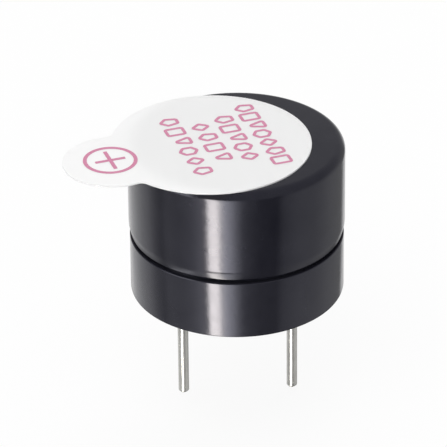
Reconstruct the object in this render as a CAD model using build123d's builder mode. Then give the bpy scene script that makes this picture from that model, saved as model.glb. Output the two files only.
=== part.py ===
from build123d import *
import os

# A sealed round buzzer with its own drive circuit. A moulded two-part case holds a steel
# diaphragm over a coil and ring magnet. Two pins leave through the resin below, and a
# peel-off seal keeps the sound hole clean until the buzzer is in use.
#
# Frame: the origin is the centre of the underside that rests on a board. +Z is up through
# the sound hole, and the pins stand on X, the positive one on -X under the seal's tab.

os.makedirs("parts", exist_ok=True)

# Case, outside
case_radius = 6.0
case_height = 9.0
seam_height = 3.55
lower_case_inset = 0.05
top_edge_radius = 0.5
rim_height = 0.55
rim_taper = 0.12
upper_seam_radius = 0.3
lower_seam_radius = 0.1
bottom_edge_radius = 0.18

# Case, inside
upper_wall = 0.75
roof_thickness = 0.9
roof_corner_radius = 0.3
sound_hole_radius = 1.0
sound_hole_chamfer = 0.15
spigot_clearance = 0.03
spigot_wall = 0.6
lip_wall = 0.22
lip_height = 0.38
lip_clearance = 0.1
base_wall = 0.9

# Diaphragm and its armature disc
diaphragm_thickness = 0.08
diaphragm_clearance = 0.05
diaphragm_stop = 0.25
armature_radius = 2.0
armature_thickness = 0.35
air_gap = 0.35

# Magnet, coil and core
yoke_thickness = 0.6
magnet_clearance = 0.12
magnet_wall = 1.2
magnet_height = 2.2
magnet_chamfer = 0.1
core_radius = 1.0
core_height = 2.65
core_shank_radius = 0.7
rivet_radius = 1.15
rivet_height = 0.25
rivet_chamfer = 0.1
coil_insulation = 0.05
coil_height = 2.1
coil_edge_radius = 0.25
lead_gap = 0.4

# Circuit board and resin
board_thickness = 0.8
board_clearance = 0.05
potting_depth = 1.25
potting_recess = 0.15

# Coil leads: two windings, so four ends
lead_radius = 0.06
lead_rise = 1.0
lead_angle = 30.0
lead_hole_radius = 0.15
yoke_lead_hole_radius = 0.25
lead_pad_radius = 0.35
lead_joint_height = 0.3
lead_joint_taper = 35.0

# Pins
pin_pitch = 6.5
pin_radius = 0.3
pin_tip_chamfer = 0.1
positive_pin_length = 6.5
negative_pin_length = 7.55
pin_stub = 0.25
collar_radius = 0.5
collar_height = 0.6
pin_hole_clearance = 0.1
yoke_pin_hole_radius = 0.75
pin_pad_radius = 0.7
pin_joint_nose = 0.05
pin_joint_clearance = 0.05

# Transistor, a small three-legged package
transistor_length = 2.9
transistor_width = 1.3
transistor_height = 0.9
transistor_span = 2.4
transistor_pair_pitch = 1.9
transistor_y = 2.75
leg_width = 0.4
leg_thickness = 0.12
leg_foot = 0.3
leg_grip = 0.2
package_standoff = 0.05
package_taper = 7.0

# Chip resistor and protection diode, side by side
resistor_length = 2.0
resistor_width = 1.25
resistor_height = 0.5
resistor_cap_length = 0.35
diode_length = 1.7
diode_width = 1.25
diode_height = 0.8
diode_span = 2.5
chip_gap = 0.65
chip_y = -2.75

# Seal
seal_radius = 5.6
seal_offset = 1.44
seal_thickness = 0.1
tab_radius = 2.75
tab_reach = 5.66
tab_blend_radius = 0.5

# Radii from the wall inwards
lower_radius = case_radius - lower_case_inset
bore_radius = case_radius - upper_wall
spigot_radius = bore_radius - spigot_clearance
spigot_bore = spigot_radius - spigot_wall
lip_bore = spigot_radius - lip_wall
diaphragm_radius = lip_bore - diaphragm_clearance
chamber_radius = diaphragm_radius - diaphragm_stop
magnet_radius = spigot_bore - magnet_clearance
magnet_bore = magnet_radius - magnet_wall
coil_radius = magnet_bore - lead_gap
base_bore = lower_radius - base_wall
board_radius = base_bore - board_clearance
lead_circle = coil_radius + lead_radius
pin_hole_radius = pin_radius + pin_hole_clearance

# Heights from the underside up
board_bottom = potting_recess + potting_depth
board_top = board_bottom + board_thickness
yoke_top = board_top + yoke_thickness
core_top = yoke_top + core_height
ledge_height = core_top + air_gap
lip_top = ledge_height + lip_height
chamber_floor = lip_top + lip_clearance
diaphragm_top = ledge_height + diaphragm_thickness
roof_underside = case_height - roof_thickness

lead_angles = (lead_angle, 180 - lead_angle, 180 + lead_angle, 360 - lead_angle)
lead_places = [(lead_circle * Vector(1, 0)).rotate(Axis.Z, angle) for angle in lead_angles]
pin_places = [(-pin_pitch / 2, 0), (pin_pitch / 2, 0)]


def save(piece, name):
    """Name a finished piece and write its STEP file."""
    piece.part.label = name
    export_step(piece.part, f"parts/{name}.step")


# Upper case: a cap whose bore steps in to trap the diaphragm's rim under the chamber, and
# whose outside tapers in and curls under at the seam
with BuildPart() as upper_case:
    with BuildSketch(Plane.XZ):
        with BuildLine():
            Polyline(
                (bore_radius, seam_height),
                (case_radius - rim_taper, seam_height),
                (case_radius, seam_height + rim_height),
                (case_radius, case_height),
                (sound_hole_radius, case_height),
                (sound_hole_radius, roof_underside),
                (chamber_radius, roof_underside),
                (chamber_radius, chamber_floor),
                (bore_radius, chamber_floor),
                close=True,
            )
        make_face()
    revolve(axis=Axis.Z)
    rims = upper_case.edges().filter_by(GeomType.CIRCLE)
    top_rims = rims.group_by(Axis.Z)[-1].sort_by(SortBy.RADIUS)
    seam_rim = rims.group_by(Axis.Z)[0].sort_by(SortBy.RADIUS)[-1]
    roof_rim = rims.group_by(Axis.Z)[-2].sort_by(SortBy.RADIUS)[-1]
    fillet(top_rims[-1], radius=top_edge_radius)
    fillet(seam_rim, radius=upper_seam_radius)
    fillet(roof_rim, radius=roof_corner_radius)
    chamfer(top_rims[0], length=sound_hole_chamfer)
save(upper_case, "upper_case")

# Lower case: a ring with a shelf for the board and a tall spigot that carries the diaphragm
with BuildPart() as lower_case:
    with BuildSketch(Plane.XZ):
        with BuildLine():
            Polyline(
                (base_bore, 0),
                (lower_radius, 0),
                (lower_radius, seam_height),
                (spigot_radius, seam_height),
                (spigot_radius, lip_top),
                (lip_bore, lip_top),
                (lip_bore, ledge_height),
                (spigot_bore, ledge_height),
                (spigot_bore, board_top),
                (base_bore, board_top),
                close=True,
            )
        make_face()
    revolve(axis=Axis.Z)
    outer_rims = lower_case.edges().filter_by(GeomType.CIRCLE).group_by(SortBy.RADIUS)[-1]
    fillet(outer_rims.sort_by(Axis.Z)[0], radius=bottom_edge_radius)
    fillet(outer_rims.sort_by(Axis.Z)[-1], radius=lower_seam_radius)
save(lower_case, "lower_case")

# Diaphragm: a thin steel disc held on its ledge by the magnet's pull
with BuildPart() as diaphragm:
    with BuildSketch(Plane.XY.offset(ledge_height)):
        Circle(diaphragm_radius)
    extrude(amount=diaphragm_thickness)
save(diaphragm, "diaphragm")

# Armature disc: the weight on the diaphragm that the core pulls
with BuildPart() as armature_disc:
    with BuildSketch(Plane.XY.offset(diaphragm_top)):
        Circle(armature_radius)
    extrude(amount=armature_thickness)
save(armature_disc, "armature_disc")

# Yoke plate: steel, bored for the core's shank, the pins' ends and the coil's leads
with BuildPart() as yoke_plate:
    with BuildSketch(Plane.XY.offset(board_top)):
        Circle(magnet_radius)
        Circle(core_shank_radius, mode=Mode.SUBTRACT)
        with Locations(*pin_places):
            Circle(yoke_pin_hole_radius, mode=Mode.SUBTRACT)
        with Locations(*lead_places):
            Circle(yoke_lead_hole_radius, mode=Mode.SUBTRACT)
    extrude(amount=yoke_thickness)
save(yoke_plate, "yoke_plate")

# Pole core: turned steel, riveted through the yoke plate and the board
with BuildPart() as pole_core:
    with BuildSketch(Plane.XZ):
        with BuildLine():
            Polyline(
                (0, board_bottom - rivet_height),
                (rivet_radius - rivet_chamfer, board_bottom - rivet_height),
                (rivet_radius, board_bottom - rivet_height + rivet_chamfer),
                (rivet_radius, board_bottom),
                (core_shank_radius, board_bottom),
                (core_shank_radius, yoke_top),
                (core_radius, yoke_top),
                (core_radius, core_top),
                (0, core_top),
                close=True,
            )
        make_face()
    revolve(axis=Axis.Z)
save(pole_core, "pole_core")

# Ring magnet: a pressed ring round the coil, on the yoke plate
with BuildPart() as ring_magnet:
    with BuildSketch(Plane.XY.offset(yoke_top)):
        Circle(magnet_radius)
        Circle(magnet_bore, mode=Mode.SUBTRACT)
    extrude(amount=magnet_height)
    chamfer(ring_magnet.edges().group_by(Axis.Z)[-1], length=magnet_chamfer)
save(ring_magnet, "ring_magnet")

# Coil: two windings in one round bundle on the core
with BuildPart() as coil:
    with BuildSketch(Plane.XY.offset(yoke_top)):
        Circle(coil_radius)
        Circle(core_radius + coil_insulation, mode=Mode.SUBTRACT)
    extrude(amount=coil_height)
    fillet(coil.edges().group_by(Axis.Z)[-1].sort_by(SortBy.RADIUS)[-1], radius=coil_edge_radius)
save(coil, "coil")

# Coil leads: they leave the coil's side and drop through the yoke plate and the board
with BuildPart() as coil_leads:
    with BuildSketch(Plane.XY.offset(board_bottom - lead_joint_height)):
        with Locations(*lead_places):
            Circle(lead_radius)
    extrude(amount=yoke_top + lead_rise - (board_bottom - lead_joint_height))
save(coil_leads, "coil_leads")

# Circuit board: a round board pushed up against the lower case's shelf
with BuildPart() as circuit_board:
    with BuildSketch(Plane.XY.offset(board_bottom)):
        Circle(board_radius)
        Circle(core_shank_radius, mode=Mode.SUBTRACT)
        with Locations(*pin_places):
            Circle(pin_hole_radius, mode=Mode.SUBTRACT)
        with Locations(*lead_places):
            Circle(lead_hole_radius, mode=Mode.SUBTRACT)
    extrude(amount=board_thickness)
save(circuit_board, "circuit_board")

# Lead joints: a solder cone round each coil lead under the board
with BuildPart() as lead_joints:
    with BuildSketch(Plane.XY.offset(board_bottom)) as lead_pads:
        with Locations(*lead_places):
            Circle(lead_pad_radius)
    extrude(amount=-lead_joint_height, taper=lead_joint_taper)
    add(coil_leads.part, mode=Mode.SUBTRACT)
save(lead_joints, "lead_joints")

# Pins: tinned wire with a collar that locks it in the resin, its end clipped to a chamfer
collar_top = potting_recess + collar_height
pins = {}
for name, place, length in (
    ("positive_pin", pin_places[0], positive_pin_length),
    ("negative_pin", pin_places[1], negative_pin_length),
):
    with BuildPart() as pin:
        with BuildSketch(Plane.XY.offset(-length)):
            with Locations(place):
                Circle(pin_radius)
        extrude(amount=length + board_top + pin_stub)
        chamfer(pin.edges().group_by(Axis.Z)[0], length=pin_tip_chamfer)
        with BuildSketch(Plane.XY.offset(potting_recess)):
            with Locations(place):
                Circle(collar_radius)
        extrude(amount=collar_height)
    save(pin, name)
    pins[name] = pin

# Pin joints: solder that fills each plated hole and cones down the pin
pin_joint_height = board_bottom - collar_top - pin_joint_clearance
with BuildPart() as pin_joints:
    with BuildSketch(Plane.XY.offset(board_bottom)):
        with Locations(*pin_places):
            Circle(pin_hole_radius)
    extrude(amount=board_thickness)
    with Locations(*[(x, y, board_bottom - pin_joint_height / 2) for x, y in pin_places]):
        Cone(pin_radius + pin_joint_nose, pin_pad_radius, pin_joint_height)
    for pin in pins.values():
        add(pin.part, mode=Mode.SUBTRACT)
save(pin_joints, "pin_joints")


def leg_path(span, height):
    """Half of a bent leg's centre line, from its foot on the board into the package."""
    foot_z = board_bottom - leg_thickness / 2
    grip_z = board_bottom - package_standoff - height / 2
    return [(span / 2, foot_z), (span / 2 - leg_foot, foot_z), (span / 2 - leg_foot, grip_z)]


# Transistor legs: one on one side, two on the other
with BuildPart() as transistor_legs:
    grip = transistor_width / 2 - leg_grip
    for side, offsets in ((1, [0]), (-1, [-transistor_pair_pitch / 2, transistor_pair_pitch / 2])):
        path = leg_path(transistor_span, transistor_height)
        path.append((grip, path[-1][1]))
        for x in offsets:
            with BuildSketch(Plane.YZ.offset(x)):
                with BuildLine() as centre_line:
                    Polyline(*[(transistor_y + side * y, z) for y, z in path])
                trace(centre_line.line, line_width=leg_thickness)
            extrude(amount=leg_width / 2, both=True)
save(transistor_legs, "transistor_legs")

# Transistor: a moulded package, drafted both ways from the plane of its legs
with BuildPart() as transistor:
    parting_z = board_bottom - package_standoff - transistor_height / 2
    for direction in ((0, 0, 1), (0, 0, -1)):
        with BuildSketch(Plane((0, transistor_y, parting_z), z_dir=direction)):
            Rectangle(transistor_length, transistor_width)
        extrude(amount=transistor_height / 2, taper=package_taper)
    add(transistor_legs.part, mode=Mode.SUBTRACT)
save(transistor, "transistor")

# Chip resistor: a ceramic block between two tinned caps
resistor_x = -(chip_gap + resistor_width) / 2
resistor_z = board_bottom - resistor_height / 2
with BuildPart() as resistor:
    with Locations((resistor_x, chip_y, resistor_z)):
        Box(resistor_width, resistor_length - 2 * resistor_cap_length, resistor_height)
save(resistor, "resistor")

with BuildPart() as resistor_caps:
    cap_reach = (resistor_length - resistor_cap_length) / 2
    with Locations(*[(resistor_x, chip_y + side * cap_reach, resistor_z) for side in (-1, 1)]):
        Box(resistor_width, resistor_cap_length, resistor_height)
save(resistor_caps, "resistor_caps")

# Diode legs and package, built as the transistor's are
diode_x = (chip_gap + diode_width) / 2
with BuildPart() as diode_legs:
    grip = diode_length / 2 - leg_grip
    path = leg_path(diode_span, diode_height)
    path.append((grip, path[-1][1]))
    for side in (-1, 1):
        with BuildSketch(Plane.YZ.offset(diode_x)):
            with BuildLine() as centre_line:
                Polyline(*[(chip_y + side * y, z) for y, z in path])
            trace(centre_line.line, line_width=leg_thickness)
        extrude(amount=leg_width / 2, both=True)
save(diode_legs, "diode_legs")

with BuildPart() as diode:
    parting_z = board_bottom - package_standoff - diode_height / 2
    for direction in ((0, 0, 1), (0, 0, -1)):
        with BuildSketch(Plane((diode_x, chip_y, parting_z), z_dir=direction)):
            Rectangle(diode_width, diode_length)
        extrude(amount=diode_height / 2, taper=package_taper)
    add(diode_legs.part, mode=Mode.SUBTRACT)
save(diode, "diode")

# Potting resin: fills the base round everything under the board
with BuildPart() as potting:
    with BuildSketch(Plane.XY.offset(potting_recess)):
        Circle(base_bore)
    extrude(amount=potting_depth)
    buried = [pole_core, coil_leads, lead_joints, pin_joints, *pins.values()]
    buried += [transistor, transistor_legs, resistor, resistor_caps, diode, diode_legs]
    for piece in buried:
        add(piece.part, mode=Mode.SUBTRACT)
save(potting, "potting")

# Seal: a round label with a pull tab, stuck off-centre over the sound hole
with BuildPart() as seal:
    with BuildSketch(Plane.XY.offset(case_height)):
        with Locations((-seal_offset, 0)):
            Circle(seal_radius)
        with Locations((-seal_offset - tab_reach, 0)):
            Circle(tab_radius)
    extrude(amount=seal_thickness)
    corners = seal.edges().filter_by(Axis.Z).group_by(Axis.Y)
    fillet(corners[0] + corners[-1], radius=tab_blend_radius)
save(seal, "seal")
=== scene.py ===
# %% [markdown]
# # A round buzzer, dressed for the camera
#
# The model is a sealed buzzer for a circuit board: a glossy black case in two moulded halves,
# a white peel-off seal stuck off-centre on top, and two tinned pins below. The solids come
# from a CAD model in metres. They are loaded first and never moved, and every new piece is
# worked out from their sizes, so it lands in the right place without any fitting.

# %% Load the fixed frame
import bpy
import bmesh
import math
from mathutils import Matrix, Vector


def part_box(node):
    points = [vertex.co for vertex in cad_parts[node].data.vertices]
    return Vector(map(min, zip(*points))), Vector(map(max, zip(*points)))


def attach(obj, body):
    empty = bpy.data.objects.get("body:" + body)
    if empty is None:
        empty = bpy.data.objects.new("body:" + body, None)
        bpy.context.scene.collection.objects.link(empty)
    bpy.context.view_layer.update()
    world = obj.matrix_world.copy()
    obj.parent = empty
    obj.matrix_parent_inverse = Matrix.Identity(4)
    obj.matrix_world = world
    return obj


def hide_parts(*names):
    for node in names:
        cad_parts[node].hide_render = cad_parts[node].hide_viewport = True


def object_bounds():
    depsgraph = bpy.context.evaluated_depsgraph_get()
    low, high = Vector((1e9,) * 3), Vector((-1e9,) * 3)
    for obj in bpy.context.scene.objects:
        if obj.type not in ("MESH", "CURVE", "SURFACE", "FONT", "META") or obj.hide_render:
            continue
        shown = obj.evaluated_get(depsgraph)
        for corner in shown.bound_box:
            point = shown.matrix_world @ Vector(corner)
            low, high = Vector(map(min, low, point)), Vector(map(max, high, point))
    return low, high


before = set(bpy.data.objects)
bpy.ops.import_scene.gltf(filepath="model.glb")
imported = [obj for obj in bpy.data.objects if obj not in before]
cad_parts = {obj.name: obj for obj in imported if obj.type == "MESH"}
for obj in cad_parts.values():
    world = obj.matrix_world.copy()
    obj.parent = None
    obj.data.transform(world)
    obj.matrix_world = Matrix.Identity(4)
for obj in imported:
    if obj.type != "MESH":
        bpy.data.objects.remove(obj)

cad_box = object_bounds()
print("CAD nodes:", len(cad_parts), "box in mm:", [[round(v * 1000, 2) for v in c] for c in cad_box])

# %% [markdown]
# Sizes are read from the solids' own boxes wherever a box can give them. A few sizes that a
# box can't show are written once, in millimetres, beside the piece that needs them, as they
# are in the CAD source.

# %% Sizes read from the frame
MM = 0.001
BODY = "root"
SHARP_ANGLE = math.radians(40)
upper_low, upper_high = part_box("upper_case")
lower_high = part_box("lower_case")[1]
seal_low, seal_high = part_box("seal")
resin_low, resin_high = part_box("potting")
case_radius, case_top, seam_height = upper_high.x, upper_high.z, upper_low.z
lower_radius, base_bore = lower_high.x, resin_high.x
seal_radius = seal_high.y
seal_centre = seal_high.x - seal_radius
tab_radius = 2.75 * MM
tab_centre = seal_low.x + tab_radius
tab_blend_radius = 0.5 * MM
print("case radius", case_radius, "seam at", seam_height, "seal centre", seal_centre)

# %% [markdown]
# The camera comes first. A pinhole camera was fitted to the outline, rim and seam of the case
# in the photograph: it looks down by 30 degrees from the seal's tab side, from 220 mm away,
# through a long lens, and it is rolled by half a degree. A long lens keeps the ellipses of
# the rim, the seam and the underside nearly alike, as they are there.

# %% Camera at the photograph's view
PICTURE = 447
PIXELS_PER_MM = 17.85
CAMERA_DISTANCE = 220 * MM
CAMERA_AZIMUTH = math.radians(-18.8)
CAMERA_ELEVATION = math.radians(30.12)
CAMERA_ROLL = math.radians(-0.6)
AIM_RIGHT, AIM_UP = -0.738 * MM, 3.27 * MM
SENSOR = 36.0

right = Vector((math.cos(CAMERA_AZIMUTH), math.sin(CAMERA_AZIMUTH), 0))
away = Vector((-math.sin(CAMERA_AZIMUTH), math.cos(CAMERA_AZIMUTH), 0))
forward = away * math.cos(CAMERA_ELEVATION) - Vector((0, 0, math.sin(CAMERA_ELEVATION)))
up = right.cross(forward)
rolled_right = right * math.cos(CAMERA_ROLL) + up * math.sin(CAMERA_ROLL)
rolled_up = up * math.cos(CAMERA_ROLL) - right * math.sin(CAMERA_ROLL)

camera_data = bpy.data.cameras.new("camera")
camera_data.sensor_width = SENSOR
camera_data.lens = SENSOR * PIXELS_PER_MM * CAMERA_DISTANCE / MM / PICTURE
camera_data.clip_start, camera_data.clip_end = 0.01, 10
camera = bpy.data.objects.new("camera", camera_data)
bpy.context.scene.collection.objects.link(camera)
turn = Matrix((rolled_right, rolled_up, -forward)).transposed().to_4x4()
camera.matrix_world = Matrix.Translation(
    right * AIM_RIGHT + up * AIM_UP - forward * CAMERA_DISTANCE
) @ turn
bpy.context.scene.camera = camera
bpy.context.scene.view_settings.view_transform = "Standard"
print("lens", round(camera_data.lens, 1), "mm")

# %% [markdown]
# Materials are built from shader nodes. Every pattern reads Object coordinates, scaled up so
# that one unit is a millimetre, because the pieces lie in the mesh where they lie on the
# object: a noise scale is then simply how many blobs fit in a millimetre.

# %% Helpers for shader nodes
def add_node(tree, kind, values=None, **settings):
    """One node, with its settings and the values of its unlinked inputs."""
    node = tree.nodes.new(kind)
    for name, value in settings.items():
        setattr(node, name, value)
    for name, value in (values or {}).items():
        node.inputs[name].default_value = value
    return node


def chain(tree, *pairs):
    """Link (from socket, to socket) pairs."""
    for start, end in pairs:
        tree.links.new(start, end)


def new_material(name, **values):
    """A material whose constant values sit on the shader's own sockets."""
    material = bpy.data.materials.new(name)
    material.use_nodes = True
    shader = material.node_tree.nodes["Principled BSDF"]
    for socket, value in values.items():
        shader.inputs[socket.replace("_", " ")].default_value = value
    return material, material.node_tree, shader


def millimetres(tree, stretch=(1, 1, 1)):
    """Object coordinates in millimetres, stretched where a pattern runs one way."""
    place = add_node(tree, "ShaderNodeTexCoord")
    scale = add_node(tree, "ShaderNodeMapping", {"Scale": [s / MM for s in stretch]})
    tree.links.new(place.outputs["Object"], scale.inputs["Vector"])
    return scale.outputs["Vector"]


def noise(tree, vector, scale, detail=3.0, roughness=0.5):
    """A noise texture's value, with so many blobs to a unit."""
    values = {"Scale": scale, "Detail": detail, "Roughness": roughness}
    node = add_node(tree, "ShaderNodeTexNoise", values)
    tree.links.new(vector, node.inputs["Vector"])
    return node.outputs["Fac"]


def spread(tree, value, low, high, start=0.3, end=0.7):
    """A noise value mapped from its middle range to the range low to high."""
    values = {"From Min": start, "From Max": end, "To Min": low, "To Max": high}
    node = add_node(tree, "ShaderNodeMapRange", values)
    tree.links.new(value, node.inputs["Value"])
    return node.outputs["Result"]


def tint(tree, value, stops):
    """A colour ramp through (place, colour) stops."""
    node = add_node(tree, "ShaderNodeValToRGB")
    ramp = node.color_ramp
    while len(ramp.elements) < len(stops):
        ramp.elements.new(0.5)
    for element, (place, colour) in zip(ramp.elements, stops):
        element.position, element.color = place, (*colour, 1)
    tree.links.new(value, node.inputs["Fac"])
    return node.outputs["Color"]


def bump(tree, shader, layers):
    """Stacked bump layers, each (height, depth in millimetres, strength)."""
    below = None
    for height, depth, strength in layers:
        node = add_node(tree, "ShaderNodeBump", {"Distance": depth * MM, "Strength": strength})
        tree.links.new(height, node.inputs["Height"])
        if below:
            tree.links.new(below, node.inputs["Normal"])
        below = node.outputs["Normal"]
    tree.links.new(below, shader.inputs["Normal"])


# %% [markdown]
# The case is glossy black moulded plastic. A near-black colour alone would look like a hole
# in the picture: what shows is its reflections, so the finish is a low roughness that varies
# a little, a faint orange peel from the mould, and fine scratches from handling. The
# scratches are stretched noise, cut so that only its thin crests remain. What it reflects
# straight back has a cool cast. The lower half is painted a shade lighter, as painted light
# for the light that the pale floor throws up onto it.

# %% Black case plastic
case_plastic, tree, shader = new_material("case_plastic", IOR=1.5, Specular_Tint=(0.86, 0.86, 1, 1))
place = millimetres(tree)
parts = add_node(tree, "ShaderNodeSeparateXYZ")
# Random tone from noise, plus painted light: below the seam the colour is a shade lighter, for light
# thrown up from the floor
tone_and_floor_light = add_node(tree, "ShaderNodeMath", operation="ADD")
chain(tree, (place, parts.inputs["Vector"]), (noise(tree, place, 0.6, 4), tone_and_floor_light.inputs[0]),
      (spread(tree, parts.outputs["Z"], 0.45, 0, 3.5, 3.6), tone_and_floor_light.inputs[1]))
blacks = [(0.3, (0.007, 0.007, 0.0125)), (1, (0.0175, 0.0175, 0.0245))]
tree.links.new(tint(tree, tone_and_floor_light.outputs["Value"], blacks), shader.inputs["Base Color"])
tree.links.new(spread(tree, noise(tree, place, 2.5, 5), 0.11, 0.17), shader.inputs["Roughness"])
peel = noise(tree, place, 3.0, 2)
grain = noise(tree, place, 10.0, 3)
scratch_lines = noise(tree, millimetres(tree, (1.2, 1.2, 14)), 1.0, 4, 0.6)
scratches = spread(tree, scratch_lines, 0, 1, 0.58, 0.68)
bump(tree, shader, [(peel, 0.02, 0.1), (grain, 0.002, 0.5), (scratches, 0.002, 0.35)])
print("case plastic nodes:", len(tree.nodes))

# %% [markdown]
# The seal is a white film label. It is satin, not glossy, and slightly uneven in tone. Where it
# hangs past the case it is painted a hair whiter, as painted light for the light that comes
# through the film from below. It has a fine tooth that a raking light picks up. Light passes
# a little way into it, which subsurface scattering gives, so that its thin edge doesn't go grey.

# %% White seal film and pink ink
seal_film, tree, shader = new_material(
    "seal_film", IOR=1.46, Subsurface_Weight=0.5, Subsurface_Scale=0.25 * MM,
    Subsurface_Radius=(1, 1, 1)
)
place = millimetres(tree)
from_axis = add_node(tree, "ShaderNodeVectorMath", operation="LENGTH")
flat = add_node(tree, "ShaderNodeVectorMath", {1: (1, 1, 0)}, operation="MULTIPLY")
chain(tree, (place, flat.inputs[0]), (flat.outputs["Vector"], from_axis.inputs[0]))
# Painted light: the film is made a hair whiter where it hangs past the case, for light coming through
# it from below
overhang_light = spread(tree, from_axis.outputs["Value"], 0, 0.7, 5.2, 6.6)
tone = spread(tree, noise(tree, place, 0.35, 4), 0, 0.3)
tone_and_overhang_light = add_node(tree, "ShaderNodeMath", operation="ADD")
chain(tree, (overhang_light, tone_and_overhang_light.inputs[0]), (tone, tone_and_overhang_light.inputs[1]))
whites = [(0, (0.925, 0.925, 0.923)), (1, (0.96, 0.96, 0.958))]
tree.links.new(tint(tree, tone_and_overhang_light.outputs["Value"], whites), shader.inputs["Base Color"])
tree.links.new(spread(tree, noise(tree, place, 4.0), 0.42, 0.55), shader.inputs["Roughness"])
bump(tree, shader, [(noise(tree, place, 0.5, 2), 0.02, 0.15), (noise(tree, place, 16.0), 0.003, 0.3)])

pink_ink, tree, shader = new_material("pink_ink", IOR=1.48)
place = millimetres(tree)
speckle = noise(tree, place, 9.0, 4, 0.65)
tree.links.new(tint(tree, speckle, [(0.25, (0.56, 0.16, 0.295)), (0.75, (0.73, 0.32, 0.46))]),
               shader.inputs["Base Color"])
tree.links.new(spread(tree, noise(tree, place, 6.0), 0.35, 0.5), shader.inputs["Roughness"])
bump(tree, shader, [(noise(tree, place, 14.0), 0.003, 0.4)])

# %% [markdown]
# The pins are drawn wire with a dip of tin. Drawing leaves lines along the wire, and the tin
# pools softly over them, so the bump is noise stretched along Z under a slower wave. The tin
# has dulled, so it scatters a good part of the light and mirrors only the rest.

# %% Tinned wire
tinned_wire, tree, shader = new_material("tinned_wire", Metallic=0.4)
place = millimetres(tree)
drawn = noise(tree, millimetres(tree, (1, 1, 0.06)), 9.0, 4, 0.6)
pooled = noise(tree, place, 1.6, 3)
tree.links.new(tint(tree, pooled, [(0.3, (0.54, 0.535, 0.505)), (0.7, (0.62, 0.615, 0.585))]),
               shader.inputs["Base Color"])
tree.links.new(spread(tree, drawn, 0.15, 0.24), shader.inputs["Roughness"])
bump(tree, shader, [(pooled, 0.04, 0.3), (drawn, 0.006, 0.35)])

# %% [markdown]
# The potting resin is cast black epoxy. It levels itself while it cures, so it is glossier
# than the case, with a slow ripple and a few pinholes where bubbles broke.

# %% Cast potting resin
potting_resin, tree, shader = new_material("potting_resin", IOR=1.52)
place = millimetres(tree)
blacks = [(0.3, (0.012, 0.012, 0.013)), (0.7, (0.02, 0.02, 0.021))]
tree.links.new(tint(tree, noise(tree, place, 0.8), blacks), shader.inputs["Base Color"])
tree.links.new(spread(tree, noise(tree, place, 1.2), 0.08, 0.2), shader.inputs["Roughness"])
cells = add_node(tree, "ShaderNodeTexVoronoi", {"Scale": 1.4, "Randomness": 1.0})
tree.links.new(place, cells.inputs["Vector"])
pinholes = spread(tree, cells.outputs["Distance"], 0, 1, 0.03, 0.09)
bump(tree, shader, [(noise(tree, place, 0.7, 2), 0.05, 0.4), (pinholes, 0.03, 0.6)])


# %% [markdown]
# The pieces sealed inside never show, but each has its own finish, so the model is true when
# it is opened up. Most need the same three things, a colour that drifts, a roughness that
# drifts and a bump, so one function builds them from a short list.

# %% Finishes of the sealed pieces
def drifting(name, dark, light, rough, scale, depth, stretch=(1, 1, 1), metallic=0.0, **values):
    """A finish whose colour, roughness and bump all drift with the same kind of noise."""
    material, tree, shader = new_material(name, Metallic=metallic, **values)
    place = millimetres(tree, stretch)
    colour = tint(tree, noise(tree, place, scale, 4), [(0.3, dark), (0.7, light)])
    tree.links.new(colour, shader.inputs["Base Color"])
    roughness = spread(tree, noise(tree, place, scale * 2.3, 3), *rough)
    tree.links.new(roughness, shader.inputs["Roughness"])
    bump(tree, shader, [(noise(tree, place, scale * 5, 3), depth, 0.4)])
    return material


rolled_steel = drifting("spring_steel", (0.5, 0.5, 0.51), (0.62, 0.62, 0.63), (0.2, 0.32), 1.5,
                        0.004, (1, 8, 1), 1.0)
plated_steel = drifting("plated_steel", (0.52, 0.51, 0.48), (0.64, 0.63, 0.6), (0.28, 0.42), 2.0,
                        0.006, (1, 1, 1), 1.0)
ferrite = drifting("ferrite", (0.02, 0.02, 0.022), (0.045, 0.045, 0.048), (0.55, 0.75), 5.0, 0.012)
enamelled_wire = drifting("enamelled_wire", (0.32, 0.09, 0.025), (0.5, 0.17, 0.06), (0.18, 0.3),
                          2.0, 0.004, (1, 1, 1), 0.6, Coat_Weight=0.6, Coat_Roughness=0.1)
laminate = drifting("board_laminate", (0.012, 0.07, 0.025), (0.02, 0.11, 0.04), (0.3, 0.45), 3.0,
                    0.005)
solder = drifting("solder", (0.6, 0.6, 0.61), (0.72, 0.72, 0.73), (0.2, 0.35), 4.0, 0.01,
                  (1, 1, 1), 1.0)
package_resin = drifting("package_resin", (0.012, 0.012, 0.012), (0.025, 0.025, 0.025),
                         (0.5, 0.65), 8.0, 0.006)
thick_film = drifting("resistor_ceramic", (0.015, 0.015, 0.018), (0.03, 0.03, 0.034), (0.25, 0.4),
                      6.0, 0.004)
inner_finishes = {
    "diaphragm": rolled_steel,
    "armature_disc": plated_steel,
    "yoke_plate": plated_steel,
    "pole_core": plated_steel,
    "ring_magnet": ferrite,
    "coil": enamelled_wire,
    "coil_leads": enamelled_wire,
    "circuit_board": laminate,
    "lead_joints": solder,
    "pin_joints": solder,
    "transistor": package_resin,
    "transistor_legs": tinned_wire,
    "resistor": thick_film,
    "resistor_caps": solder,
    "diode": package_resin,
    "diode_legs": tinned_wire,
}
for node, finish in inner_finishes.items():
    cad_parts[node].material_slots[0].material = finish
print("inner nodes finished:", len(inner_finishes))

# %% [markdown]
# The case halves and the pins are turned shapes, so each is an outline swept round an axis.
# An outline is a list of corners with a rounding at each: the corner is cut back by the
# tangent length and bridged with an arc, as a fillet is on a drawing.


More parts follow.
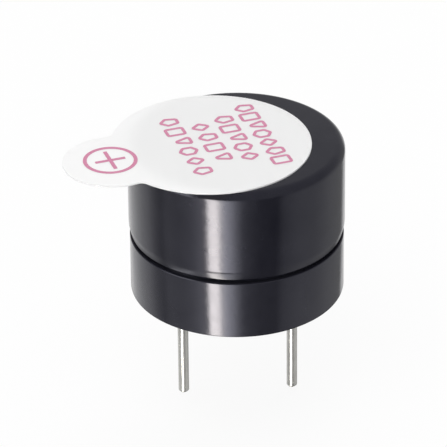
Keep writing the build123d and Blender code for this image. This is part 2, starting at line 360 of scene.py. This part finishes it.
# %% Rounded outlines
def rounded(corners, arc_steps=10):
    """A closed outline through (r, z, fillet) corners, with arcs where the fillet isn't 0."""
    points = []
    count = len(corners)
    for i, (r, z, fillet) in enumerate(corners):
        here = Vector((r, z))
        if fillet == 0:
            points.append(here)
            continue
        before = (Vector(corners[i - 1][:2]) - here).normalized()
        after = (Vector(corners[(i + 1) % count][:2]) - here).normalized()
        half = before.angle(after) / 2
        centre = here + (before + after).normalized() * fillet / math.sin(half)
        start = here + before * fillet / math.tan(half) - centre
        sweep = start.angle_signed(here + after * fillet / math.tan(half) - centre)
        for step in range(arc_steps + 1):
            turned = start.copy()
            turned.rotate(Matrix.Rotation(-sweep * step / arc_steps, 2))
            points.append(centre + turned)
    return points


# %% [markdown]
# Blender has no lathe node, but Curve to Mesh does the same job: the outline is the profile
# and a circle is the path. Each point of the profile keeps its distance from the circle, so
# an outline drawn in distances from the circle's radius comes out as the turned shape. The
# tree ends in Realize Instances and Set Material, because an exporter drops instances.


# %% The lathe, a Geometry Nodes tree
# Points nearer to each other than this are merged
WELD = 0.0002 * MM


def add_socket(tree, name, kind, value=None, way="INPUT"):
    """A socket on the outside of a node tree, with its value when nothing else is given."""
    socket = tree.interface.new_socket(name, in_out=way, socket_type="NodeSocket" + kind)
    if value is not None:
        socket.default_value = value


def lathe_tree():
    """The tree that sweeps an outline round a circle."""
    tree = bpy.data.node_groups.new("lathe", "GeometryNodeTree")
    add_socket(tree, "Outline", "Geometry")
    add_socket(tree, "Path radius", "Float", 1 * MM)
    add_socket(tree, "Steps", "Int", 192)
    add_socket(tree, "Place", "Vector")
    add_socket(tree, "Finish", "Material")
    add_socket(tree, "Turned", "Geometry", way="OUTPUT")
    inlet = tree.nodes.new("NodeGroupInput")
    outlet = tree.nodes.new("NodeGroupOutput")
    outline = add_node(tree, "GeometryNodeMeshToCurve")
    circle = add_node(tree, "GeometryNodeCurvePrimitiveCircle")
    sweep = add_node(tree, "GeometryNodeCurveToMesh")
    poles = add_node(tree, "GeometryNodeMergeByDistance", {"Distance": WELD})
    shift = add_node(tree, "GeometryNodeTransform")
    smooth = add_node(tree, "GeometryNodeSetShadeSmooth")
    realize = add_node(tree, "GeometryNodeRealizeInstances")
    finish = add_node(tree, "GeometryNodeSetMaterial")
    chain(
        tree,
        (inlet.outputs["Outline"], outline.inputs["Mesh"]),
        (inlet.outputs["Path radius"], circle.inputs["Radius"]),
        (inlet.outputs["Steps"], circle.inputs["Resolution"]),
        (circle.outputs["Curve"], sweep.inputs["Curve"]),
        (outline.outputs["Curve"], sweep.inputs["Profile Curve"]),
        (sweep.outputs["Mesh"], poles.inputs["Geometry"]),
        (poles.outputs["Geometry"], shift.inputs["Geometry"]),
        (inlet.outputs["Place"], shift.inputs["Translation"]),
        (shift.outputs["Geometry"], smooth.inputs["Geometry"]),
        (smooth.outputs["Geometry"], realize.inputs["Geometry"]),
        (realize.outputs["Geometry"], finish.inputs["Geometry"]),
        (inlet.outputs["Finish"], finish.inputs["Material"]),
        (finish.outputs["Geometry"], outlet.inputs["Turned"]),
    )
    return tree


def grow(name, mesh, tree, values):
    """Run a tree on a mesh and keep its result as a plain, closed, outward-facing mesh."""
    piece = bpy.data.objects.new(name, mesh)
    bpy.context.scene.collection.objects.link(piece)
    modifier = piece.modifiers.new("tree", "NODES")
    modifier.node_group = tree
    for item in tree.interface.items_tree:
        if item.name in values and item.in_out == "INPUT":
            modifier[item.identifier] = values[item.name]
    grown = piece.evaluated_get(bpy.context.evaluated_depsgraph_get())
    result = bpy.data.meshes.new_from_object(grown)
    piece.modifiers.clear()
    piece.data = result
    result.name = name
    shell = bmesh.new()
    shell.from_mesh(result)
    bmesh.ops.recalc_face_normals(shell, faces=shell.faces)
    shell.to_mesh(result)
    shell.free()
    result.set_sharp_from_angle(angle=SHARP_ANGLE)
    low = [round(min(v.co[i] for v in result.vertices) / MM, 3) for i in range(3)]
    high = [round(max(v.co[i] for v in result.vertices) / MM, 3) for i in range(3)]
    print(name, "faces", len(result.polygons), "from", low, "to", high)
    return piece


def turned(name, outline, finish, place=(0, 0, 0), steps=192, path_radius=3 * MM):
    """A piece swept round the axis at place, from an outline of (r, z) points."""
    mesh = bpy.data.meshes.new(name)
    count = len(outline)
    points = [(r - path_radius, -z, 0) for r, z in outline]
    mesh.from_pydata(points, [(i, (i + 1) % count) for i in range(count)], [])
    values = {"Path radius": path_radius, "Steps": steps, "Place": place, "Finish": finish}
    return grow(name, mesh, LATHE, values)


def keep(piece, slot, *nodes):
    """Settle a finished piece: it rides on the one body and stands for its CAD node."""
    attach(piece, BODY)
    if nodes:
        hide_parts(*nodes)


LATHE = lathe_tree()

# %% [markdown]
# The upper case is a cap. Its top edge is rounded. Its rim tapers in and then curls under at
# the seam, which is why a bright patch and then a black line run round the case there: the
# taper catches the light and the curl faces the dark gap. Inside, the bore steps in over the
# diaphragm's rim.

# %% Upper case
bore = 5.25 * MM
chamber = 4.7 * MM
chamber_floor = 6.28 * MM
roof_underside = 8.1 * MM
sound_hole = 1.0 * MM
sound_hole_chamfer = 0.15 * MM
chamber_corner = 0.3 * MM
rim_height = 0.55 * MM
rim_taper = 0.12 * MM
rim_curl = 0.18 * MM
taper_blend = 1.5 * MM
top_edge = 0.5 * MM
upper_outline = rounded([
    (bore, seam_height, 0),
    (case_radius - rim_taper, seam_height, rim_curl),
    (case_radius, seam_height + rim_height, taper_blend),
    (case_radius, case_top, top_edge),
    (sound_hole + sound_hole_chamfer, case_top, 0),
    (sound_hole, case_top - sound_hole_chamfer, 0),
    (sound_hole, roof_underside, 0),
    (chamber, roof_underside, chamber_corner),
    (chamber, chamber_floor, 0),
    (bore, chamber_floor, 0),
])
upper_case = turned("case_upper", upper_outline, case_plastic, steps=256)
keep(upper_case, "case_plastic", "upper_case")

# %% [markdown]
# The lower case ends in a small step just under the seam. With the curled rim above it, the
# step makes the groove that shows as a black line round the case.

# %% Lower case
step_height = 3.39 * MM
step_depth = 0.3 * MM
step_edge = 0.05 * MM
bottom_edge = 0.08 * MM
spigot = 5.22 * MM
spigot_bore = 4.62 * MM
lip_bore = 5.0 * MM
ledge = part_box("diaphragm")[0].z
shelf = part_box("circuit_board")[1].z
lower_outline = rounded([
    (base_bore, 0, 0),
    (lower_radius, 0, bottom_edge),
    (lower_radius, step_height, step_edge),
    (lower_radius - step_depth, step_height, 0),
    (lower_radius - step_depth, seam_height, 0),
    (spigot, seam_height, 0),
    (spigot, lower_high.z, 0),
    (lip_bore, lower_high.z, 0),
    (lip_bore, ledge, 0),
    (spigot_bore, ledge, 0),
    (spigot_bore, shelf, 0),
    (base_bore, shelf, 0),
])
lower_case = turned("case_lower", lower_outline, case_plastic, steps=256)
keep(lower_case, "case_plastic", "lower_case")

# %% [markdown]
# The pins are the same outline at two lengths: a clipped tip, the wire, and a collar that the
# resin grips. The outline's first and last points lie on the axis, so the tree's merge closes
# the poles.

# %% Pins
wire = 0.3 * MM
collar_radius = 0.5 * MM
collar_height = 0.6 * MM
tip_chamfer = 0.1 * MM
tip_edge = 0.05 * MM
for node in ("positive_pin", "negative_pin"):
    low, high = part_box(node)
    axis_x = (low.x + high.x) / 2
    pin_outline = rounded([
        (0, low.z, 0),
        (wire - tip_chamfer, low.z, 0),
        (wire, low.z + tip_chamfer, tip_edge),
        (wire, resin_low.z, 0),
        (collar_radius, resin_low.z, 0),
        (collar_radius, resin_low.z + collar_height, 0),
        (wire, resin_low.z + collar_height, 0),
        (wire, high.z, 0),
        (0, high.z, 0),
    ])
    pin = turned(node + "_wire", pin_outline, tinned_wire, (axis_x, 0, 0),
                 steps=64, path_radius=1 * MM)
    keep(pin, "tinned_wire", node)

# %% [markdown]
# The resin's face shows from below, set back a little from the rim that the case stands on. Its
# solid already has the right shape, with the pins and the circuit's parts cut out of it, so it
# only takes its finish.

# %% Potting resin
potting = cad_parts["potting"]
potting.material_slots[0].material = potting_resin

# %% [markdown]
# The seal's outline is two circles with their inner corners blended. The disc is a hair
# smaller than the CAD's and sits a hair further back, as in the photograph. The mesh is rings
# that shrink from the outline towards a spine between the two centres, so that the cut edge
# can be rounded without any long thin triangles.


# %% Seal
disc_trim = 0.06 * MM
disc_shift = 0.09 * MM
cut_edge = 0.02 * MM
ring_shares = (0, 0.2, 0.45, 0.7, 0.9, 1)


def spine_point(part):
    """The point this part of the way from the disc's centre to the tab's."""
    return Vector((seal_centre + (tab_centre - seal_centre) * part, disc_shift * (1 - part)))


def seal_outline(steps=160):
    """Points round the seal, with how far along the spine each one's foot lies."""
    big, small, blend = seal_radius - disc_trim, tab_radius, tab_blend_radius
    apart = seal_centre - tab_centre
    reach_big, reach_small = big + blend, small + blend
    along = (reach_big ** 2 - reach_small ** 2 + apart ** 2) / (2 * apart)
    across = math.sqrt(reach_big ** 2 - along ** 2)
    corner = Vector((seal_centre - along, across))
    big_end = (corner - Vector((seal_centre, 0))).angle(Vector((1, 0)))
    small_end = (corner - Vector((tab_centre, 0))).angle(Vector((1, 0)))
    half = []
    for step in range(steps + 1):
        turn = big_end * step / steps
        half.append((Vector((seal_centre + big * math.cos(turn), big * math.sin(turn))), 0.0))
    first, last = big_end + math.pi, small_end + math.pi
    blend_steps = steps // 8
    for step in range(1, blend_steps):
        part = step / blend_steps
        turn = first + (last - first) * part
        spot = corner + blend * Vector((math.cos(turn), math.sin(turn)))
        half.append((spot, part))
    tab_steps = steps // 2
    for step in range(tab_steps + 1):
        turn = small_end + (math.pi - small_end) * step / tab_steps
        half.append((Vector((tab_centre + small * math.cos(turn), small * math.sin(turn))), 1.0))
    mirrored = [(Vector((p.x, -p.y)), part) for p, part in reversed(half[1:-1])]
    return [(spot + Vector((0, disc_shift * (1 - part))), part) for spot, part in half + mirrored]


def film_seal(name, edge_steps=3):
    """The film: rings that shrink to the spine below, a rounded cut edge, and rings above."""
    low, high, edge = seal_low.z, seal_high.z, cut_edge
    outline = seal_outline()
    spine = [spine_point(part) for _, part in outline]
    arms = [spot - foot for (spot, _), foot in zip(outline, spine)]
    levels = [(share, 0, low) for share in ring_shares]
    for step in range(edge_steps + 1):
        turn = math.pi / 2 * step / edge_steps
        levels.append((1, edge * (1 - math.cos(turn)), high - edge * (1 - math.sin(turn))))
    levels += [(share, edge, high) for share in ring_shares[-2::-1]]
    shell = bmesh.new()
    loops = []
    for share, inset, z in levels:
        loop = []
        for foot, arm in zip(spine, arms):
            spot = foot + arm * share * (1 - inset / arm.length)
            loop.append(shell.verts.new((spot.x, spot.y, z)))
        loops.append(loop)
    for lower, upper in zip(loops, loops[1:]):
        for i in range(len(outline)):
            j = (i + 1) % len(outline)
            shell.faces.new((lower[i], lower[j], upper[j], upper[i]))
    bmesh.ops.remove_doubles(shell, verts=shell.verts, dist=WELD)
    bmesh.ops.recalc_face_normals(shell, faces=shell.faces)
    mesh = bpy.data.meshes.new(name)
    shell.to_mesh(mesh)
    shell.free()
    mesh.shade_smooth()
    mesh.set_sharp_from_angle(angle=SHARP_ANGLE)
    mesh.materials.append(seal_film)
    piece = bpy.data.objects.new(name, mesh)
    bpy.context.scene.collection.objects.link(piece)
    return piece


seal = film_seal("peel_off_seal")
keep(seal, "seal_film", "seal")
print("seal faces", len(seal.data.polygons))

# %% [markdown]
# The seal is printed in pink. Its tab carries a circled plus, the usual mark for the positive
# pin. The disc carries four rows of plain marks, outlines of three to many sides. A mark is a
# circle curve with few points, given a flat stroke by Curve to Mesh, so one tree draws them
# all: it lays out a line of points, and picks a mark for each by its number.


# %% Print, a Geometry Nodes tree
# Each shape: how many sides, and how far it is turned in degrees
SHAPES = ((4, 45), (3, 180), (6, 0), (4, 0), (5, 180))
SHAPE_SHIFT = 3
SOFT_CORNER = 0.6


def mark_tree():
    """The tree that lays out a row of outlined marks."""
    tree = bpy.data.node_groups.new("marks", "GeometryNodeTree")
    add_socket(tree, "Base", "Geometry")
    add_socket(tree, "Count", "Int", 5)
    add_socket(tree, "First mark", "Vector")
    add_socket(tree, "Step", "Vector")
    add_socket(tree, "Shape offset", "Int", 0)
    add_socket(tree, "Mark size", "Vector")
    add_socket(tree, "Stroke", "Float", 0.14 * MM)
    add_socket(tree, "Ink depth", "Float", 0.01 * MM)
    add_socket(tree, "Finish", "Material")
    add_socket(tree, "Marks", "Geometry", way="OUTPUT")
    inlet = tree.nodes.new("NodeGroupInput")
    outlet = tree.nodes.new("NodeGroupOutput")
    line = add_node(tree, "GeometryNodeMeshLine", mode="OFFSET")
    stroke = add_node(tree, "GeometryNodeCurvePrimitiveQuadrilateral")
    shapes = add_node(tree, "GeometryNodeGeometryToInstance")
    for sides, turn in SHAPES:
        angles = [math.radians(turn + 360 * i / sides) for i in range(sides)]
        low_x, high_x = min(map(math.cos, angles)), max(map(math.cos, angles))
        low_y, high_y = min(map(math.sin, angles)), max(map(math.sin, angles))
        outline = add_node(tree, "GeometryNodeCurvePrimitiveCircle",
                           {"Resolution": sides, "Radius": 1.0})
        centred = add_node(tree, "GeometryNodeTransform",
                           {"Rotation": (0, 0, math.radians(turn)),
                            "Translation": (-(low_x + high_x) / 2, -(low_y + high_y) / 2, 0)})
        fit = add_node(tree, "ShaderNodeVectorMath",
                       {1: (1 / (high_x - low_x), 1 / (high_y - low_y), 1)}, operation="MULTIPLY")
        scaled = add_node(tree, "GeometryNodeTransform")
        soft = add_node(tree, "GeometryNodeFilletCurve", {"Count": 3}, mode="POLY")
        corner = add_node(tree, "ShaderNodeMath", {1: SOFT_CORNER}, operation="MULTIPLY")
        drawn = add_node(tree, "GeometryNodeCurveToMesh", {"Fill Caps": True})
        chain(
            tree,
            (outline.outputs["Curve"], centred.inputs["Geometry"]),
            (centred.outputs["Geometry"], scaled.inputs["Geometry"]),
            (inlet.outputs["Mark size"], fit.inputs[0]),
            (fit.outputs["Vector"], scaled.inputs["Scale"]),
            (scaled.outputs["Geometry"], soft.inputs["Curve"]),
            (inlet.outputs["Stroke"], corner.inputs[0]),
            (corner.outputs["Value"], soft.inputs["Radius"]),
            (soft.outputs["Curve"], drawn.inputs["Curve"]),
            (stroke.outputs["Curve"], drawn.inputs["Profile Curve"]),
            (drawn.outputs["Mesh"], shapes.inputs["Geometry"]),
        )
    number = add_node(tree, "GeometryNodeInputIndex")
    shifted = add_node(tree, "ShaderNodeMath", operation="ADD")
    place = add_node(tree, "GeometryNodeInstanceOnPoints", {"Pick Instance": True})
    realize = add_node(tree, "GeometryNodeRealizeInstances")
    finish = add_node(tree, "GeometryNodeSetMaterial")
    chain(
        tree,
        (inlet.outputs["Count"], line.inputs["Count"]),
        (inlet.outputs["First mark"], line.inputs["Start Location"]),
        (inlet.outputs["Step"], line.inputs["Offset"]),
        (inlet.outputs["Stroke"], stroke.inputs["Width"]),
        (inlet.outputs["Ink depth"], stroke.inputs["Height"]),
        (number.outputs["Index"], shifted.inputs[0]),
        (inlet.outputs["Shape offset"], shifted.inputs[1]),
        (line.outputs["Mesh"], place.inputs["Points"]),
        (shapes.outputs["Instances"], place.inputs["Instance"]),
        (shifted.outputs["Value"], place.inputs["Instance Index"]),
        (place.outputs["Instances"], realize.inputs["Geometry"]),
        (realize.outputs["Geometry"], finish.inputs["Geometry"]),
        (inlet.outputs["Finish"], finish.inputs["Material"]),
        (finish.outputs["Geometry"], outlet.inputs["Marks"]),
    )
    return tree


INK_DEPTH = 0.012 * MM
MARK_HEIGHT = 1.15 * MM
MARK_WIDTH = 0.9 * MM
STROKE = 0.175 * MM
ROW_PITCH = 1.48 * MM
FIRST_ROW = -2.87 * MM
# Each row: how many marks, how long the row is, and where its middle lies across the seal
rows = [(6, 6.7 * MM, 0.21 * MM), (4, 4.5 * MM, 0.18 * MM), (5, 5.3 * MM, 0.18 * MM),
        (7, 7.1 * MM, 0.14 * MM)]
marks = mark_tree()
ink_height = seal_high.z + INK_DEPTH / 2
for number, (count, length, middle) in enumerate(rows):
    step = (length - MARK_WIDTH) / (count - 1)
    first_y = middle - (length - MARK_WIDTH) / 2
    values = {
        "Count": count,
        "First mark": (FIRST_ROW + number * ROW_PITCH, first_y, ink_height),
        "Step": (0, step, 0),
        "Shape offset": number * SHAPE_SHIFT,
        "Mark size": (MARK_HEIGHT - STROKE, MARK_WIDTH - STROKE, 1),
        "Stroke": STROKE,
        "Ink depth": INK_DEPTH,
        "Finish": pink_ink,
    }
    row = grow(f"print_row_{number + 1}", bpy.data.meshes.new("row"), marks, values)
    keep(row, "seal_film")

# %% [markdown]
# The circled plus is one ring and two bars, all as thick as a film of ink. The bars cross in
# one outline, so they don't lie over each other.

# %% Circled plus
RING_RADIUS = 1.49 * MM
RING_STROKE = 0.21 * MM
ring_centre = Vector((-7.2, 0.14)) * MM
PLUS_ALONG, PLUS_ACROSS = 1.7 * MM, 2.0 * MM


def flat_ink(name, loops_to_fill):
    """Ink of even depth over outlines given as lists of (x, y) loops, two loops for a ring."""
    ink = bmesh.new()
    for loops in loops_to_fill:
        sides = [[[ink.verts.new((x, y, z)) for x, y in loop] for loop in loops]
                 for z in (seal_high.z, seal_high.z + INK_DEPTH)]
        if len(loops) == 2:
            for outer, inner in sides:
                for i in range(len(outer)):
                    j = (i + 1) % len(outer)
                    ink.faces.new((outer[i], outer[j], inner[j], inner[i]))
        else:
            for (outline,) in sides:
                ink.faces.new(outline)
        for lower, upper in zip(*sides):
            for i in range(len(lower)):
                j = (i + 1) % len(lower)
                ink.faces.new((lower[i], lower[j], upper[j], upper[i]))
    bmesh.ops.recalc_face_normals(ink, faces=ink.faces)
    mesh = bpy.data.meshes.new(name)
    ink.to_mesh(mesh)
    ink.free()
    mesh.materials.append(pink_ink)
    piece = bpy.data.objects.new(name, mesh)
    bpy.context.scene.collection.objects.link(piece)
    return piece


def circle_points(radius, centre, steps=96):
    """Points round a circle, as (x, y) pairs."""
    turns = [2 * math.pi * i / steps for i in range(steps)]
    return [(centre.x + radius * math.cos(t), centre.y + radius * math.sin(t)) for t in turns]


half_bar = RING_STROKE / 2
plus = []
for sign_x, sign_y in ((1, 1), (-1, 1), (-1, -1), (1, -1)):
    corner = [(sign_x * PLUS_ALONG / 2, sign_y * half_bar), (sign_x * half_bar, sign_y * half_bar),
              (sign_x * half_bar, sign_y * PLUS_ACROSS / 2)]
    plus += corner if sign_x * sign_y > 0 else corner[::-1]
plus = [(ring_centre.x + x, ring_centre.y + y) for x, y in plus]
ring = [circle_points(radius, ring_centre) for radius in (RING_RADIUS, RING_RADIUS - RING_STROKE)]
plus_mark = flat_ink("print_circled_plus", [ring, [plus]])
keep(plus_mark, "seal_film")
print("circled plus faces", len(plus_mark.data.polygons))

# %% [markdown]
# The floor is plain and pale, and lies just under the longer pin. To the camera alone it also
# glows, up to the white of the photograph's background, and enough of it is still lit like
# anything else to take the buzzer's soft shadow.

# %% Floor
PIN_GAP = 0.02 * MM
floor_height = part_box("negative_pin")[0].z - PIN_GAP
FLOOR_SIZE = 4.0
GLOW = 0.9

half = FLOOR_SIZE / 2
floor_corners = [(-half, -half), (half, -half), (half, half), (-half, half)]
floor_corners = [(x, y, floor_height) for x, y in floor_corners]
floor_mesh = bpy.data.meshes.new("floor")
floor_mesh.from_pydata(floor_corners, [], [(0, 1, 2, 3)])
floor = bpy.data.objects.new("floor", floor_mesh)
bpy.context.scene.collection.objects.link(floor)
floor_paint, tree, shader = new_material("floor_paint", Base_Color=(0.93, 0.93, 0.93, 1),
                                         Roughness=0.9, Specular_IOR_Level=0.0)
path = add_node(tree, "ShaderNodeLightPath")
share = add_node(tree, "ShaderNodeMath", {1: GLOW}, operation="MULTIPLY")
white = add_node(tree, "ShaderNodeEmission", {"Color": (1, 1, 1, 1), "Strength": 1.0})
blend = add_node(tree, "ShaderNodeMixShader")
chain(tree, (path.outputs["Is Camera Ray"], share.inputs[0]), (share.outputs["Value"], blend.inputs[0]),
      (shader.outputs["BSDF"], blend.inputs[1]), (white.outputs["Emission"], blend.inputs[2]),
      (blend.outputs["Shader"], tree.nodes["Material Output"].inputs["Surface"]))
floor_mesh.materials.append(floor_paint)
floor.visible_glossy = False
print("floor at", round(floor_height / MM, 2), "mm")

# %% [markdown]
# A glossy black thing looks like what stands round it, so the studio's walls matter more here
# than its lamps. The world holds them, as brightness by direction. Above the horizon the room
# is a mid grey. Below it stand the walls: white behind the buzzer, a dark panel to the right
# of the camera, and a narrow bright strip with a soft right edge to the left of it. A window
# stands further left. Only reflections see this room. The camera sees white, and surfaces
# that scatter light get an even, soft light.

# %% Levels of the world
WORLD_LIGHT = 0.55
ROOM_GREY = 0.44
STRIP_BRIGHTNESS = 19.4
WINDOW_BRIGHTNESS = 2.4
# Brightness of the walls, by angle to the right of the camera as seen from the buzzer
wall_panels = [(-180, 1.2), (-130, 1.1), (-108, 0.91), (-96, 0.54), (-87, 0.35), (-78, 0.62),
               (-62, 0.6), (-48, 0.88), (-40, 1.35), (0, 0.88), (10, 0.47), (24, 0.18), (42, 0.11),
               (50, 0.48), (68, 0.66), (96, 0.6), (112, 0.57), (148, 0.29), (154, 1.0), (180, 1.25)]
strip_light = [(-32.5, 0), (-29, 1), (-20.5, 1), (-17, 0.36), (-10, 0.22), (0, 0.05), (6, 0)]
side_window = [(-84, 0), (-76, 1), (-50, 1), (-42, 0)]
# Colour of the walls: white, but for the strip, which is a touch warm
WARM = (1.08, 1.02, 0.9)
wall_colour = [(-36, (1, 1, 1)), (-30, WARM), (-19, WARM), (-12, (1, 1, 1))]
# Brightness of each, by the sine of the angle above the horizon
walls_by_height = [(-0.97, 0.05), (-0.88, 0.3), (-0.82, 0.9), (-0.6, 1), (-0.1, 1), (0.1, 0.8)]
strip_by_height = [(-0.966, 0), (-0.95, 0.68), (-0.735, 0.68), (-0.72, 0), (-0.65, 0), (-0.63, 1),
                   (-0.1, 0.8), (0.1, 0)]
window_by_height = [(-0.84, 0), (-0.8, 0.8), (-0.76, 0), (-0.25, 0), (-0.1, 1), (0.8, 1), (0.95, 0)]
print("wall levels:", len(wall_panels), "strip levels:", len(strip_light))

# %% [markdown]
# A direction becomes two numbers, the angle round from the camera and the height. Each number
# goes through a colour ramp, and the two ramps of a panel are multiplied.

# %% World
world = bpy.data.worlds.new("studio")
bpy.context.scene.world = world
world.use_nodes = True
tree = world.node_tree
background = tree.nodes["Background"]
direction = add_node(tree, "ShaderNodeTexCoord")
facing = add_node(tree, "ShaderNodeMapping",
                  {"Rotation": (0, 0, math.pi / 2 - CAMERA_AZIMUTH)})
around = add_node(tree, "ShaderNodeTexGradient", gradient_type="RADIAL")
height = add_node(tree, "ShaderNodeSeparateXYZ")
half_height = add_node(tree, "ShaderNodeMath", {1: 0.5, 2: 0.5}, operation="MULTIPLY_ADD")
# Near the floor the angles are drawn in towards the camera, as they are for things close by
closeness = add_node(tree, "ShaderNodeMapRange",
                     {"From Min": -0.6, "From Max": -0.8, "To Min": 1.0, "To Max": 0.8})
from_camera = add_node(tree, "ShaderNodeMath", {1: 0.5}, operation="SUBTRACT")
angle = add_node(tree, "ShaderNodeMath", {2: 0.5}, operation="MULTIPLY_ADD")
# Behind the buzzer its shadow lies on the floor, so there the walls start higher up
turned_away = add_node(tree, "ShaderNodeMath", operation="ABSOLUTE")
shadow = add_node(tree, "ShaderNodeMapRange",
                  {"From Min": 0.22, "From Max": 0.5, "To Min": 0.0, "To Max": -0.185})
shadowed_height = add_node(tree, "ShaderNodeMath", operation="ADD")
chain(
    tree,
    (direction.outputs["Generated"], facing.inputs["Vector"]),
    (facing.outputs["Vector"], around.inputs["Vector"]),
    (direction.outputs["Generated"], height.inputs["Vector"]),
    (height.outputs["Z"], half_height.inputs[0]),
    (height.outputs["Z"], closeness.inputs["Value"]),
    (around.outputs["Fac"], from_camera.inputs[0]),
    (from_camera.outputs["Value"], angle.inputs[0]),
    (closeness.outputs["Result"], angle.inputs[1]),
    (from_camera.outputs["Value"], turned_away.inputs[0]),
    (turned_away.outputs["Value"], shadow.inputs["Value"]),
    (shadow.outputs["Result"], shadowed_height.inputs[0]),
    (half_height.outputs["Value"], shadowed_height.inputs[1]),
)


def by_angle(levels):
    """Brightness by angle, from (degrees to the right of the camera, level) pairs."""
    stops = [(degrees / 360 + 0.5, level if isinstance(level, tuple) else (level,) * 3)
             for degrees, level in levels]
    return tint(tree, angle.outputs["Value"], stops)


def by_height(levels, height=half_height):
    """Brightness by height, from (sine of the angle above the horizon, level) pairs."""
    stops = [(sine / 2 + 0.5, (level,) * 3) for sine, level in levels]
    return tint(tree, height.outputs["Value"], stops)


low = add_node(tree, "ShaderNodeMapRange", {"From Min": 0.1, "From Max": -0.1})
room = add_node(tree, "ShaderNodeMix", {"A": ROOM_GREY})
panels = add_node(tree, "ShaderNodeMath", operation="MULTIPLY")
strip = add_node(tree, "ShaderNodeMath", operation="MULTIPLY")
window = add_node(tree, "ShaderNodeMath", operation="MULTIPLY")
strip_room = add_node(tree, "ShaderNodeMath", {1: STRIP_BRIGHTNESS}, operation="MULTIPLY_ADD")
lit_room = add_node(tree, "ShaderNodeMath", {1: WINDOW_BRIGHTNESS}, operation="MULTIPLY_ADD")
colour = add_node(tree, "ShaderNodeMix", data_type="RGBA")
ends = {socket.identifier: socket for socket in [*colour.inputs, *colour.outputs]}
ends["A_Color"].default_value = (1, 1, 1, 1)
path = add_node(tree, "ShaderNodeLightPath")
scattered = add_node(tree, "ShaderNodeMix", {"A": WORLD_LIGHT})
seen = add_node(tree, "ShaderNodeMix", {"B": 1.0})
chain(
    tree,
    (by_angle(wall_panels), panels.inputs[0]),
    (by_height(walls_by_height, shadowed_height), panels.inputs[1]),
    (height.outputs["Z"], low.inputs["Value"]),
    (low.outputs["Result"], room.inputs["Factor"]),
    (panels.outputs["Value"], room.inputs["B"]),
    (by_angle(strip_light), strip.inputs[0]),
    (by_height(strip_by_height), strip.inputs[1]),
    (strip.outputs["Value"], strip_room.inputs[0]),
    (room.outputs["Result"], strip_room.inputs[2]),
    (by_angle(side_window), window.inputs[0]),
    (by_height(window_by_height), window.inputs[1]),
    (window.outputs["Value"], lit_room.inputs[0]),
    (strip_room.outputs["Value"], lit_room.inputs[2]),
    (path.outputs["Is Glossy Ray"], ends["Factor_Float"]),
    (by_angle(wall_colour), ends["B_Color"]),
    (ends["Result_Color"], background.inputs["Color"]),
    (path.outputs["Is Glossy Ray"], scattered.inputs["Factor"]),
    (lit_room.outputs["Value"], scattered.inputs["B"]),
    (scattered.outputs["Result"], seen.inputs["A"]),
    (path.outputs["Is Camera Ray"], seen.inputs["Factor"]),
    (seen.outputs["Result"], background.inputs["Strength"]),
)
print("world nodes:", len(tree.nodes))

# %% [markdown]
# Two broad lamps add shape to the even light: one high on the left, one high behind. They
# light what scatters and leave the reflections to the room. A lamp's power is worked out
# from the brightness of its face, so its size can change without changing how bright it is.

# %% Lamps
def lamp(name, spot, aim, width, height, brightness):
    """A soft rectangular lamp at spot, facing aim, whose face has this brightness."""
    data = bpy.data.lights.new(name, "AREA")
    data.shape = "RECTANGLE"
    data.size, data.size_y = width, height
    data.energy = brightness * math.pi * width * height
    light = bpy.data.objects.new(name, data)
    light.location = spot
    light.rotation_mode = "QUATERNION"
    light.rotation_quaternion = (Vector(aim) - Vector(spot)).to_track_quat("-Z", "Y")
    light.visible_camera = False
    light.visible_glossy = False
    bpy.context.scene.collection.objects.link(light)
    return light


middle = (cad_box[0] + cad_box[1]) / 2
lamp("key", middle + Vector((-0.16, -0.16, 0.38)), middle, 0.3, 0.3, 2.65)
lamp("back", middle + Vector((0.12, 0.25, 0.35)), middle, 0.4, 0.25, 1.75)
print("lamps:", len(bpy.data.lights))
